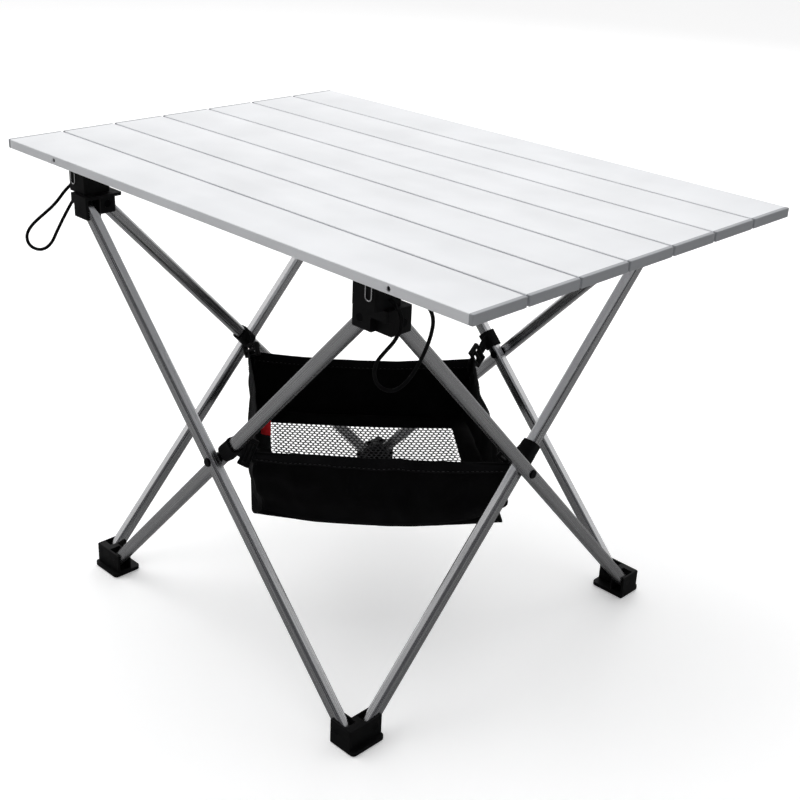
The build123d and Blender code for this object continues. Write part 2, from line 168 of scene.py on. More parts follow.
def length_prop(name, description, default):
    """A length in metres."""
    return bpy.props.FloatProperty(name=name, description=description, default=default,
                                   subtype="DISTANCE", unit="LENGTH", min=0, precision=4)


class CampTableFinishes(bpy.types.PropertyGroup):
    """Colours of the table's finishes."""
    slat_colour: colour_prop("Slats", "Anodised face of the slats", (0.84, 0.85, 0.87))
    cap_colour: colour_prop("End caps", "Satin paint of the slat ends", (0.40, 0.41, 0.43))
    tube_colour: colour_prop("Tubes", "Bright anodised tubes", (0.60, 0.60, 0.61))
    plastic_colour: colour_prop("Plastic", "Moulded hubs, feet and brackets", (0.0022, 0.0022, 0.0025))
    pin_colour: colour_prop("Pins", "Dark plated pins and rivets", (0.006, 0.006, 0.007))
    wire_colour: colour_prop("Wires", "Bright spring wire", (0.75, 0.75, 0.76))
    fabric_colour: colour_prop("Fabric", "Woven basket walls", (0.0018, 0.0018, 0.0020))
    net_colour: colour_prop("Net", "Knitted basket floor", (0.012, 0.012, 0.013))
    cord_colour: colour_prop("Cord", "Braided elastic cord", (0.0022, 0.0022, 0.0025))
    tab_colour: colour_prop("Tab", "Plain woven tab in the basket", (0.85, 0.012, 0.018))


class CampTableSizes(bpy.types.PropertyGroup):
    """Sizes of the soft goods."""
    cord_diameter: length_prop("Cord", "Diameter of the elastic cord", 2.8 * MM)
    cloth_thickness: length_prop("Cloth", "Thickness of the basket's fabric", 0.9 * MM)
    rim_sag: length_prop("Rim sag", "Drop of the basket's rim at the middle of a wall", 4 * MM)
    rim_draw: length_prop("Rim draw", "How far the rim curves in at the middle of a wall", 5 * MM)
    belly: length_prop("Belly", "How far a wall bulges out below its rim", 3 * MM)
    fold_depth: length_prop("Folds", "Depth of the soft folds in a wall", 5 * MM)
    corner_tuck: length_prop("Corner tuck", "How far a corner is drawn in below its strap", 6 * MM)
    floor_sag: length_prop("Floor sag", "Drop of the net floor at its middle", 7 * MM)
    border_width: length_prop("Floor border", "Width of the fabric round the net", 21 * MM)
    hole_pitch: length_prop("Hole pitch", "Distance between the net's holes along a row", 4.9 * MM)
    strand_width: length_prop("Strand", "Width of the net's strands", 1.3 * MM)
    binding_width: length_prop("Binding", "Width of the binding folded over the rim", 9 * MM)
    webbing_width: length_prop("Webbing", "Width of the straps", 17 * MM)
    webbing_thickness: length_prop("Webbing thickness", "Thickness of the straps", 1.3 * MM)


def finishes():
    """The user's colours."""
    return bpy.context.scene.camp_table_finishes


def sizes():
    """The user's sizes."""
    return bpy.context.scene.camp_table_sizes


# ---- Materials ----
def principled(name, colour, metallic, roughness):
    """A material with a plain shader, and that shader."""
    material = bpy.data.materials.get(name) or bpy.data.materials.new(name)
    material.use_nodes = True
    shader = material.node_tree.nodes["Principled BSDF"]
    shader.inputs["Base Color"].default_value = (*colour, 1)
    shader.inputs["Metallic"].default_value = metallic
    shader.inputs["Roughness"].default_value = roughness
    return material, shader


def place_pattern(material, source, cell, turn=(0, 0, 0)):
    """Coordinates for a pattern: object space or the piece's own map, in cells of the given size."""
    nodes, links = material.node_tree.nodes, material.node_tree.links
    coordinates = nodes.new("ShaderNodeTexCoord")
    mapping = nodes.new("ShaderNodeMapping")
    mapping.vector_type = "TEXTURE"
    mapping.inputs["Scale"].default_value = cell
    mapping.inputs["Rotation"].default_value = turn
    links.new(coordinates.outputs[source], mapping.inputs["Vector"])
    return mapping.outputs["Vector"]


def add_noise(material, vector, detail=3, roughness=0.5):
    """A noise texture at one cell of the pattern."""
    texture = material.node_tree.nodes.new("ShaderNodeTexNoise")
    texture.inputs["Scale"].default_value = 1
    texture.inputs["Detail"].default_value = detail
    texture.inputs["Roughness"].default_value = roughness
    material.node_tree.links.new(vector, texture.inputs["Vector"])
    return texture.outputs["Fac"]


def spread(material, value, low, high, target):
    """Carries a pattern to a shader socket, between two values."""
    remap = material.node_tree.nodes.new("ShaderNodeMapRange")
    remap.inputs["From Min"].default_value = NOISE_LOW
    remap.inputs["From Max"].default_value = NOISE_HIGH
    remap.inputs["To Min"].default_value = low
    remap.inputs["To Max"].default_value = high
    material.node_tree.links.new(value, remap.inputs["Value"])
    material.node_tree.links.new(remap.outputs["Result"], target)


def tint(material, shader, value, dark, light):
    """Varies the base colour between two tones."""
    ramp = material.node_tree.nodes.new("ShaderNodeValToRGB")
    ramp.color_ramp.elements[0].position = NOISE_LOW
    ramp.color_ramp.elements[0].color = (*dark, 1)
    ramp.color_ramp.elements[1].position = NOISE_HIGH
    ramp.color_ramp.elements[1].color = (*light, 1)
    material.node_tree.links.new(value, ramp.inputs["Fac"])
    material.node_tree.links.new(ramp.outputs["Color"], shader.inputs["Base Color"])


def emboss(material, shader, value, depth, strength=0.5):
    """Raises a pattern by a depth in metres."""
    bump = material.node_tree.nodes.new("ShaderNodeBump")
    bump.inputs["Strength"].default_value = strength
    bump.inputs["Distance"].default_value = depth
    material.node_tree.links.new(value, bump.inputs["Height"])
    material.node_tree.links.new(bump.outputs["Normal"], shader.inputs["Normal"])


def shade(colour, factor):
    """A lighter or darker tone of a colour."""
    return tuple(min(1.0, part * factor) for part in colour)


def anodised(name, colour, along, roughness, metallic=1.0):
    """Brushed and anodised aluminium with its grain along one direction."""
    material, shader = principled(name, colour, metallic, roughness)
    shader.inputs["Anisotropic"].default_value = 0.3
    turn = Vector((1, 0, 0)).rotation_difference(Vector(along)).to_euler()
    grain = add_noise(material, place_pattern(material, "Object", (0.09, 0.0003, 0.0003), turn), 2)
    cloud = add_noise(material, place_pattern(material, "Object", (0.06, 0.06, 0.06)), 2)
    spread(material, grain, roughness - 0.03, roughness + 0.05, shader.inputs["Roughness"])
    tint(material, shader, cloud, shade(colour, 0.95), shade(colour, 1.03))
    emboss(material, shader, grain, 0.00002, 0.12)
    return material


def moulded(name, colour):
    """Moulded nylon with a fine spark-eroded grain and slight gloss changes."""
    material, shader = principled(name, colour, 0.0, 0.5)
    shader.inputs["Specular IOR Level"].default_value = 0.14
    fine = add_noise(material, place_pattern(material, "Object", (0.0004, 0.0004, 0.0004)), 3)
    cloud = add_noise(material, place_pattern(material, "Object", (0.009, 0.009, 0.009)), 3)
    spread(material, cloud, 0.42, 0.60, shader.inputs["Roughness"])
    tint(material, shader, cloud, shade(colour, 0.8), shade(colour, 1.5))
    emboss(material, shader, fine, 0.00008, 0.45)
    return material


def plated(name, colour, roughness):
    """Plated steel with faint scratches."""
    material, shader = principled(name, colour, 1.0, roughness)
    scratch = add_noise(material, place_pattern(material, "Object", (0.0030, 0.0004, 0.0012)), 5)
    spread(material, scratch, roughness - 0.08, roughness + 0.12, shader.inputs["Roughness"])
    emboss(material, shader, scratch, 0.00003, 0.3)
    return material


def woven(name, colour, pitch, depth, sheen):
    """Plain weave that follows the piece's own map, which is in metres."""
    material, shader = principled(name, colour, 0.0, 0.85)
    shader.inputs["Specular IOR Level"].default_value = 0.05
    shader.inputs["Sheen Weight"].default_value = sheen
    shader.inputs["Sheen Roughness"].default_value = 0.6
    nodes, links = material.node_tree.nodes, material.node_tree.links
    vector = place_pattern(material, "UV", (pitch, pitch, pitch))
    threads = []
    for direction in ("X", "Y"):
        wave = nodes.new("ShaderNodeTexWave")
        wave.bands_direction = direction
        wave.inputs["Scale"].default_value = 0.32
        wave.inputs["Distortion"].default_value = 0.6
        wave.inputs["Detail"].default_value = 1
        links.new(vector, wave.inputs["Vector"])
        threads.append(wave.outputs["Fac"])
    weave = nodes.new("ShaderNodeMath")
    weave.operation = "MULTIPLY"
    links.new(threads[0], weave.inputs[0])
    links.new(threads[1], weave.inputs[1])
    cloud = add_noise(material, place_pattern(material, "Object", (0.02, 0.02, 0.02)), 4)
    tint(material, shader, cloud, shade(colour, 0.7), shade(colour, 1.7))
    spread(material, cloud, 0.75, 0.95, shader.inputs["Roughness"])
    emboss(material, shader, weave.outputs["Value"], depth, 0.6)
    return material


def braided(name, colour):
    """Braided sheath of elastic cord."""
    material, shader = principled(name, colour, 0.0, 0.7)
    shader.inputs["Specular IOR Level"].default_value = 0.1
    cells = material.node_tree.nodes.new("ShaderNodeTexVoronoi")
    cells.inputs["Scale"].default_value = 1
    vector = place_pattern(material, "Object", (0.0007, 0.0007, 0.0011))
    material.node_tree.links.new(vector, cells.inputs["Vector"])
    cloud = add_noise(material, place_pattern(material, "Object", (0.004, 0.004, 0.004)), 2)
    tint(material, shader, cloud, shade(colour, 0.7), shade(colour, 1.8))
    emboss(material, shader, cells.outputs["Distance"], 0.00025, 0.6)
    return material


def dress(node, material):
    """Gives a CAD node its finish through its material slots."""
    mesh = frame["nodes"][node].data
    if not mesh.materials:
        mesh.materials.append(material)
    for index in range(len(mesh.materials)):
        mesh.materials[index] = material


# ---- Modelling helpers ----
def new_piece(name, form, material, sharp=30):
    """Turns a bmesh into a piece at the origin, smooth up to a sharp angle in degrees."""
    mesh = bpy.data.meshes.new(name)
    bmesh.ops.recalc_face_normals(form, faces=form.faces)
    form.to_mesh(mesh)
    form.free()
    mesh.materials.append(material)
    mesh.shade_smooth()
    mesh.set_sharp_from_angle(angle=math.radians(sharp))
    piece = bpy.data.objects.new(name, mesh)
    bpy.context.scene.collection.objects.link(piece)
    return piece


def cloth_grid(columns, rows, width, height, place):
    """A grid whose points are put in place by a function of two shares from 0 to 1.

    Its map is in metres: width runs along the columns and height along the rows.
    """
    form = bmesh.new()
    layer = form.loops.layers.uv.new("UVMap")
    bmesh.ops.create_grid(form, x_segments=columns, y_segments=rows, size=0.5, calc_uvs=False)
    for face in form.faces:
        for loop in face.loops:
            at = loop.vert.co
            loop[layer].uv = ((at.x + 0.5) * width, (at.y + 0.5) * height)
    for vert in form.verts:
        vert.co = place(vert.co.x + 0.5, vert.co.y + 0.5)
    return form


def thicken(piece, thickness, offset=0.0):
    """Gives a sheet its thickness."""
    solidify = piece.modifiers.new("Thickness", "SOLIDIFY")
    solidify.thickness = thickness
    solidify.offset = offset
    solidify.use_even_offset = True


def soften(piece, width, segments=2):
    """Rounds the edges of a piece."""
    bevel = piece.modifiers.new("Rounded edges", "BEVEL")
    bevel.width = width
    bevel.segments = segments
    bevel.limit_method = "ANGLE"


def freeze(piece):
    """Applies the modifiers, so that the piece holds its final mesh."""
    evaluated = piece.evaluated_get(bpy.context.evaluated_depsgraph_get())
    mesh = bpy.data.meshes.new_from_object(evaluated)
    piece.modifiers.clear()
    piece.data = mesh
    return piece


def tube_along(name, points, radius, material, sides=12):
    """A round tube through points, with closed ends."""
    form = bmesh.new()
    ring = []
    for index, point in enumerate(points):
        before = points[max(0, index - 1)]
        after = points[min(len(points) - 1, index + 1)]
        turn = (Vector(after) - Vector(before)).to_track_quat("Z", "Y").to_matrix().to_4x4()
        made = bmesh.ops.create_circle(form, segments=sides, radius=radius,
                                       cap_ends=index in (0, len(points) - 1),
                                       matrix=Matrix.Translation(point) @ turn)
        edges = list({edge for vert in made["verts"] for edge in vert.link_edges})
        if ring:
            bmesh.ops.bridge_loops(form, edges=ring + edges)
        ring = edges
    return new_piece(name, form, material, 60)


# ---- Places read from the frame ----
def basket_corners():
    """The plan of the basket's four corners, from the boxes of two opposite walls."""
    low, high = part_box("basket_wall_south_east")
    far_low, far_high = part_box("basket_wall_north_west")
    return {"south": Vector((low.x, low.y, 0)), "east": Vector((high.x, high.y, 0)),
            "north": Vector((far_high.x, far_high.y, 0)), "west": Vector((far_low.x, far_low.y, 0))}


RIM_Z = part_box("basket_wall_south_east")[1].z
BASKET_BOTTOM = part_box("basket_wall_south_east")[0].z
CORNERS = basket_corners()
CENTRE = sum(CORNERS.values(), Vector()) / 4


def joint_place(name):
    """Where a joint's axis stands."""
    return Vector(JOINTS[name]["pos_m"])


def outward(side):
    """The outward direction of one side of the frame."""
    return Matrix.Rotation(math.radians(SIDES[side]), 3, "Z") @ Vector((0, -1, 0))


def inner_tube_line(side):
    """The crossing on the inner tube's middle line, and the way up along that tube."""
    out = outward(side)
    crossing = joint_place(f"cross_pivot_{side}")
    hub_end = joint_place(HUB_ENDS[side])
    crossing = crossing + out * (hub_end - crossing).dot(out)
    return crossing, (hub_end - crossing).normalized()


def wall_frame(wall):
    """A wall's first corner in plan, its run to the second one and its inward direction."""
    start, end = (CORNERS[corner] for corner in WALLS[wall])
    run = end - start
    return start, run, UP.cross(run).normalized()


def corner_pull(corner, rise):
    """How a corner of the basket is drawn in and crumpled at one height; both its walls share it."""
    size = sizes()
    lower = 1 - rise
    crumple = noise.noise(Vector((CORNERS[corner].x * 40, CORNERS[corner].y * 40, rise * 3.4)))
    tuck = size.corner_tuck * (lower ** 0.5 + 0.9 * lower ** 6) + CRUMPLE * crumple * lower ** 0.4
    return (CENTRE - CORNERS[corner]).normalized() * tuck


def wall_point(wall, along, rise):
    """A point of a hung wall: along from its first corner, rise from its lower edge to its rim."""
    size = sizes()
    start, run, inward = wall_frame(wall)
    first, second = WALLS[wall]
    hang = 4 * along * (1 - along)
    near_start, near_end = (1 - along) ** CORNER_REACH, along ** CORNER_REACH
    rim = RIM_Z - size.rim_sag * hang
    foot = BASKET_BOTTOM + CORNER_LIFTS[first] * near_start + CORNER_LIFTS[second] * near_end
    draw = size.rim_draw * hang * rise ** 2 - size.belly * hang * math.sin(math.pi * rise)
    # Broad folds, the drape between them and fine creases, all fading out where the cloth is held.
    seed = list(WALLS).index(wall) * SEED_STEP
    slack = min(1.0, 7 * along * (1 - along)) * (0.3 + 0.7 * (1 - abs(2 * rise - 1)))
    depth = size.fold_depth * slack
    fold = noise.noise(Vector((along * 6, rise * 1.7 + along * 3, seed))) * depth
    drape = noise.noise(Vector((along * 14 + rise * 2, rise * 1.4, seed + 7))) * depth * DRAPE_SHARE
    crease = noise.noise(Vector((along * 30, rise * 4, seed + 4))) * depth * CREASE_SHARE
    drawn = corner_pull(first, rise) * near_start + corner_pull(second, rise) * near_end
    return (start + run * along + inward * (draw + fold + drape + crease) + drawn
            + UP * (foot + rise * (rim - foot)))


def floor_corners(half):
    """The four corners of a floor half: along its wall, then back along the seam."""
    first, second, third, fourth = (CORNERS[corner] for corner in FLOOR_HALVES[half])
    return first, second, (second + third) / 2, (fourth + first) / 2


def floor_point(half, along, depth):
    """A point of a floor half: along from its wall's first corner, depth from the wall to the seam."""
    first, second, far, near = floor_corners(half)
    edge = first.lerp(second, along)
    seam = near.lerp(far, along)
    here = edge.lerp(seam, depth)
    wall_foot = wall_point(half, along, 0)
    hem = max(0.0, 1 - depth * 5)
    here = here.lerp(Vector((wall_foot.x, wall_foot.y, 0)), hem ** 2)
    bowl = math.sin(math.pi * along) * math.sin(math.pi / 2 * depth)
    ripple = noise.noise(Vector((here.x * 28, here.y * 28, 2.5))) * RIPPLE * bowl
    height = BASKET_BOTTOM * (1 - hem ** 2) + wall_foot.z * hem ** 2
    return Vector((here.x, here.y, height - sizes().floor_sag * bowl + ripple))


# ---- Stage ----
CAMERA_PLACE = Vector((0.7685, -0.7667, 0.6952))
CAMERA_AZIMUTH = 43.76
CAMERA_ELEVATION = 24.80
CAMERA_ROLL = 2.67
CAMERA_LENS = 57.98
FLOOR_RADIUS = 14
FLOOR_DROP = 0.0006
# Each soft box: its place, the side of its square and its power in watts. All face the table's middle.
SOFT_BOXES = {"key_box": ((-1.2, -1.0, 2.6), 2.4, 30), "back_box": ((-1.0, 2.4, 1.9), 2.0, 22),
              "fill_box": ((2.6, -0.6, 1.2), 1.6, 6)}
LIGHTS_AIM = Vector((0, 0, 0.2))
# The surround is pale round this direction and dark on the other side.
PALE_SIDE = (-0.62, 0.62, 0.48)


class CAMPTABLE_OT_stage(bpy.types.Operator):
    """Makes the camera, the pale floor and the soft studio light"""
    bl_idname = "camptable.stage"
    bl_label = "Stage"

    def execute(self, context):
        scene = context.scene
        azimuth, elevation = math.radians(CAMERA_AZIMUTH), math.radians(CAMERA_ELEVATION)
        ahead = Vector((-math.sin(azimuth) * math.cos(elevation),
                        math.cos(azimuth) * math.cos(elevation), -math.sin(elevation)))
        camera = bpy.data.objects.new("camera", bpy.data.cameras.new("camera"))
        camera.data.lens = CAMERA_LENS
        roll = Matrix.Rotation(math.radians(CAMERA_ROLL), 3, "Z")
        turn = (ahead.to_track_quat("-Z", "Y").to_matrix() @ roll).to_4x4()
        camera.matrix_world = Matrix.Translation(CAMERA_PLACE) @ turn
        scene.collection.objects.link(camera)
        scene.camera = camera
        scene.view_settings.view_transform = "Standard"
        self.make_floor(scene)
        self.make_lights(scene)
        return {"FINISHED"}

    def make_floor(self, scene):
        """A wide pale floor."""
        form = bmesh.new()
        bmesh.ops.create_circle(form, cap_ends=True, segments=64, radius=FLOOR_RADIUS)
        bmesh.ops.translate(form, verts=form.verts, vec=(0, 0, -FLOOR_DROP))
        material, shader = principled("studio_floor", (0.96, 0.96, 0.96), 0.0, 0.9)
        grain = add_noise(material, place_pattern(material, "Object", (0.01, 0.01, 0.01)), 2)
        spread(material, grain, 0.85, 0.95, shader.inputs["Roughness"])
        self.dim_reflections(material, shader)
        new_piece("studio_floor", form, material)

    def dim_reflections(self, material, shader):
        """Keeps the floor white to the camera and grey in the metal's reflections."""
        nodes, links = material.node_tree.nodes, material.node_tree.links
        rays = nodes.new("ShaderNodeLightPath")
        for low, high, target in ((0.95, 0.22, "Base Color"), (0.28, 0.0, "Emission Strength")):
            remap = nodes.new("ShaderNodeMapRange")
            remap.inputs["To Min"].default_value = low
            remap.inputs["To Max"].default_value = high
            links.new(rays.outputs["Is Glossy Ray"], remap.inputs["Value"])
            links.new(remap.outputs["Result"], shader.inputs[target])
        shader.inputs["Emission Color"].default_value = (1, 1, 1, 1)

    def make_lights(self, scene):
        """A pale surround that reflects dark from behind the camera, and three soft boxes."""
        world = bpy.data.worlds.new("studio")
        world.use_nodes = True
        nodes, links = world.node_tree.nodes, world.node_tree.links
        coordinates = nodes.new("ShaderNodeTexCoord")
        facing = nodes.new("ShaderNodeVectorMath")
        facing.operation = "DOT_PRODUCT"
        facing.inputs[1].default_value = PALE_SIDE
        ramp = nodes.new("ShaderNodeValToRGB")
        ramp.color_ramp.elements[0].position = 0.02
        ramp.color_ramp.elements[0].color = (0.10, 0.10, 0.105, 1)
        ramp.color_ramp.elements[1].position = 0.42
        ramp.color_ramp.elements[1].color = (1.0, 1.0, 1.0, 1)
        links.new(coordinates.outputs["Generated"], facing.inputs[0])
        rays = nodes.new("ShaderNodeLightPath")
        shown = nodes.new("ShaderNodeMath")
        shown.operation = "MULTIPLY_ADD"
        shown.inputs[1].default_value = 2
        links.new(rays.outputs["Is Camera Ray"], shown.inputs[0])
        links.new(facing.outputs["Value"], shown.inputs[2])
        links.new(shown.outputs["Value"], ramp.inputs["Fac"])
        links.new(ramp.outputs["Color"], nodes["Background"].inputs["Color"])
        nodes["Background"].inputs["Strength"].default_value = 1.0
        scene.world = world
        for name, (place, side, watts) in SOFT_BOXES.items():
            light = bpy.data.objects.new(name, bpy.data.lights.new(name, "AREA"))
            light.data.size = side
            light.data.energy = watts
            light.visible_glossy = False
            light.location = place
            light.rotation_euler = (LIGHTS_AIM - Vector(place)).to_track_quat("-Z", "Y").to_euler()
            scene.collection.objects.link(light)


# ---- Metal and plastic ----
class CAMPTABLE_OT_hard_parts(bpy.types.Operator):
    """Gives the slats, caps, tubes, hubs, feet, brackets, pins and wires their finishes"""
    bl_idname = "camptable.hard_parts"
    bl_label = "Metal and plastic"

    def execute(self, context):
        finish = finishes()
        slats = anodised("anodised_slat", finish.slat_colour, (1, 0, 0), 0.36, 0.55)
        caps = anodised("satin_cap", finish.cap_colour, (0, 1, 0), 0.42, 0.6)
        plastic = moulded("black_nylon", finish.plastic_colour)
        pins = plated("dark_plate", finish.pin_colour, 0.35)
        wires = plated("spring_wire", finish.wire_colour, 0.18)
        for node in frame["nodes"]:
            if node.endswith("end_caps"):
                dress(node, caps)
            elif node.startswith("slat_"):
                dress(node, slats)
            elif node.startswith(("hub_pins", "foot_pins", "cross_rivet")):
                dress(node, pins)
            elif node.startswith(("hub_", "foot_", "brackets_")):
                dress(node, plastic)
            elif node.startswith("latch_wires"):
                dress(node, wires)
        for side in SIDES:
            _, up_inner = inner_tube_line(side)
            mirrored = Vector((up_inner.x, up_inner.y, -up_inner.z))
            for layer, along in (("inner", up_inner), ("outer", mirrored)):
                tube = anodised(f"tube_metal_{side}_{layer}", finish.tube_colour, along, 0.24)
                dress(f"tube_{side}_{layer}", tube)
        return {"FINISHED"}


# ---- Elastic cords ----
class CAMPTABLE_OT_cords(bpy.types.Operator):
    """Makes the two hanging cord loops and the cords that show in the gaps between slats"""
    bl_idname = "camptable.cords"
    bl_label = "Elastic cords"

    def execute(self, context):
        diameter = sizes().cord_diameter
        cord = braided("elastic_braid", finishes().cord_colour)
        for name, route in LOOP_ROUTES.items():
            curve = bpy.data.curves.new(f"{name}_cord", "CURVE")
            curve.dimensions = "3D"
            curve.bevel_depth = diameter / 2
            curve.bevel_resolution = 5
            curve.resolution_u = 12
            curve.use_fill_caps = True
            spline = curve.splines.new("NURBS")
            spline.points.add(len(route) - 1)
            for point, place in zip(spline.points, route):
                point.co = (*place, 1)
            spline.order_u = 3
            spline.use_endpoint_u = True
            curve.materials.append(cord)
            piece = bpy.data.objects.new(f"{name}_cord", curve)
            context.scene.collection.objects.link(piece)
            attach(piece, "slat_1")
            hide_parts(name)
        self.make_gap_cords(diameter, cord)
        return {"FINISHED"}

    def make_gap_cords(self, diameter, cord):
        """One stretch of cord through each pair of neighbouring slats, straight across the gap."""
        low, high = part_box("shock_cords")
        cord_x = (high.x - low.x) / 2 - KNOT_RADIUS
        middles = [sum(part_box(f"slat_{number}"), Vector()).y / 2 for number in range(1, 8)]
        height = sum(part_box("slat_4"), Vector()).z / 2
        for x_way, way in ((-1, "left"), (1, "right")):
            for number in range(1, 7):
                first, second = middles[number - 1], middles[number]
                start = low.y + diameter if number == 1 else first
                end = high.y - diameter if number == 6 else second
                points = [Vector((x_way * cord_x, start + (end - start) * step / CORD_STEPS, height))
                          for step in range(CORD_STEPS + 1)]
                piece = tube_along(f"shock_cord_{way}_{number}", points, diameter / 2, cord)
                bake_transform(piece)
                if number == 1 and x_way == -1:
                    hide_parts("shock_cords")


# ---- Basket ----
def flatten_with_fold(piece, body):
    """A soft piece rides with one corner and has a mesh of its own."""
    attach(piece, body)
    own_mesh(piece)


def along_rim(wall, along):
    """A point of the rim, and the wall's inward direction there."""
    here = wall_point(wall, along, 1)
    step = 0.01
    ahead = wall_point(wall, min(1, along + step), 1) - wall_point(wall, max(0, along - step), 1)
    return here, UP.cross(ahead).normalized()


class CAMPTABLE_OT_basket_walls(bpy.types.Operator):
    """Makes the four hung fabric walls with their bindings and stitches"""
    bl_idname = "camptable.basket_walls"
    bl_label = "Basket walls"

    def execute(self, context):
        size = sizes()
        fabric = woven("basket_weave", finishes().fabric_colour, 0.0009, 0.00012, 0.01)
        tape = woven("binding_tape", shade(finishes().fabric_colour, 1.8), 0.0013, 0.00018, 0.015)
        thread, shader = principled("black_thread", (0.012, 0.012, 0.013), 0.0, 0.6)
        twist = add_noise(thread, place_pattern(thread, "Object", (0.0004, 0.0004, 0.0004)), 2)
        spread(thread, twist, 0.5, 0.7, shader.inputs["Roughness"])
        drop = RIM_Z - BASKET_BOTTOM
        for wall, (corner, _) in WALLS.items():
            body = f"basket_{corner}"
            run = wall_frame(wall)[1]
            form = cloth_grid(72, 20, run.length, drop, lambda along, rise: wall_point(wall, along, rise))
            panel = new_piece(f"wall_{wall}_fabric", form, fabric, 60)
            thicken(panel, size.cloth_thickness)
            freeze(panel)
            binding = self.make_binding(wall, tape, size)
            stitches = self.make_stitches(wall, thread, size)
            for piece in (panel, binding, stitches):
                flatten_with_fold(piece, body)
            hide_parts(f"basket_wall_{wall}")
        return {"FINISHED"}

    def make_binding(self, wall, tape, size):
        """Tape folded over the rim."""
        half = size.cloth_thickness / 2 + TAPE_THICK
        width = size.binding_width

        def place(along, around):
            here, inward = along_rim(wall, along)
            side = math.cos(math.pi * around)
            fold = abs(2 * around - 1)
            down = width * max(0.0, fold - 0.2) / 0.8
            over = TAPE_CROWN * (1 - fold ** 2)
            below = wall_point(wall, along, 1 - down / (RIM_Z - BASKET_BOTTOM))
            return Vector((below.x, below.y, here.z - down + over)) + inward * half * side

        form = cloth_grid(72, 14, TAPE_LENGTH, 2 * width, place)
        binding = new_piece(f"wall_{wall}_binding", form, tape, 60)
        thicken(binding, TAPE_THICK)
        return freeze(binding)

    def make_stitches(self, wall, thread, size):
        """A run of stitches through the binding, on both faces."""
        form = bmesh.new()
        down = size.binding_width * STITCH_DOWN
        for index in range(STITCHES):
            along = (index + 0.5) / STITCHES
            here, inward = along_rim(wall, along)
            below = wall_point(wall, along, 1 - down / (RIM_Z - BASKET_BOTTOM))
            ahead = UP.cross(inward)
            for way in (-1, 1):
                centre = Vector((below.x, below.y, here.z - down))
                centre += inward * way * (size.cloth_thickness / 2 + STITCH_OUT)
                turn = Matrix((ahead, inward, UP)).transposed().to_4x4()
                stretch = Matrix.Diagonal(STITCH_SIZE)
                bmesh.ops.create_uvsphere(form, u_segments=6, v_segments=4, radius=1,
                                          matrix=Matrix.Translation(centre) @ turn @ stretch)
        return new_piece(f"wall_{wall}_stitches", form, thread, 180)


class CAMPTABLE_OT_basket_floor(bpy.types.Operator):
    """Makes the net floor with its fabric border, in the two halves that fold"""
    bl_idname = "camptable.basket_floor"
    bl_label = "Basket floor"

    def execute(self, context):
        size = sizes()
        fabric = woven("border_weave", finishes().fabric_colour, 0.0009, 0.00012, 0.01)
        net = self.net_material()
        for half in FLOOR_HALVES:
            first, second, far, _ = floor_corners(half)
            length, depth = (second - first).length, (far - second).length
            in_along, in_depth = size.border_width / length, size.border_width / depth
            border = self.make_border(half, fabric, length, depth, in_along, in_depth)
            panel = self.make_net(half, net, length, depth, in_along, in_depth)
            for piece, slot in ((border, "basket_fabric"), (panel, "basket_mesh")):
                flatten_with_fold(piece, f"floor_{half}")
            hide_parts(f"basket_floor_{half}")
        return {"FINISHED"}

    def net_material(self):
        """Knitted black yarn."""
        colour = finishes().net_colour
        material, shader = principled("knitted_net", colour, 0.0, 0.7)
        yarn = add_noise(material, place_pattern(material, "Object", (0.0006, 0.0006, 0.0006)), 3)
        tint(material, shader, yarn, shade(colour, 0.7), shade(colour, 2.0))
        emboss(material, shader, yarn, 0.00015, 0.5)
        return material

    def make_border(self, half, fabric, length, depth, in_along, in_depth):
        """The fabric round three sides of the net, hemmed where the net is sewn in."""
        form = cloth_grid(60, 30, length, depth, lambda along, inner: Vector((along, inner, 0)))
        for share, normal in ((in_along, (1, 0, 0)), (1 - in_along, (1, 0, 0)), (in_depth, (0, 1, 0))):
            cut = Vector(normal) * share
            bmesh.ops.bisect_plane(form, geom=form.verts[:] + form.edges[:] + form.faces[:],
                                   plane_co=cut, plane_no=normal)
        inside = [face for face in form.faces
                  if in_along < face.calc_center_median().x < 1 - in_along
                  and face.calc_center_median().y > in_depth]
        bmesh.ops.delete(form, geom=inside, context="FACES")
        for vert in form.verts:
            vert.co = floor_point(half, vert.co.x, vert.co.y)
        border = new_piece(f"floor_{half}_border", form, fabric, 60)
        thicken(border, sizes().cloth_thickness)
        return freeze(border)

    def make_net(self, half, net, length, depth, in_along, in_depth):
        """Six-sided cells tiled over the panel, each inset to its strands and opened."""
        size = sizes()
        pitch = size.hole_pitch
        row = pitch * 0.95
        wide, deep = (1 - 2 * in_along) * length, (1 - in_depth) * depth
        columns, rows = int(wide / pitch), int(deep / row)
        form = bmesh.new()
        reach = pitch / math.sqrt(3)
        stretch = Matrix.Diagonal((1, row / (1.5 * reach), 1, 1))
        sideways = Matrix.Rotation(math.radians(30), 4, "Z")
        for line in range(rows):
            for index in range(columns):
                centre = Vector(((index + 0.5 + 0.5 * (line % 2)) * pitch, (line + 0.5) * row, 0))
                bmesh.ops.create_circle(form, cap_ends=True, segments=6, radius=reach,
                                        matrix=Matrix.Translation(centre) @ stretch @ sideways)
        bmesh.ops.remove_doubles(form, verts=form.verts, dist=pitch * 0.05)
        cells = form.faces[:]
        bmesh.ops.inset_individual(form, faces=cells, thickness=size.strand_width / 2, use_even_offset=True)
        bmesh.ops.delete(form, geom=cells, context="FACES")
        for vert in form.verts:
            along = in_along + (1 - 2 * in_along) * vert.co.x / ((columns + 0.5) * pitch)
            inner = min(1.0, in_depth + (1 - in_depth) * vert.co.y / (rows * row))
            vert.co = floor_point(half, along, inner)
        panel = new_piece(f"floor_{half}_net", form, net, 60)
        thicken(panel, 0.5 * MM)
        return freeze(panel)


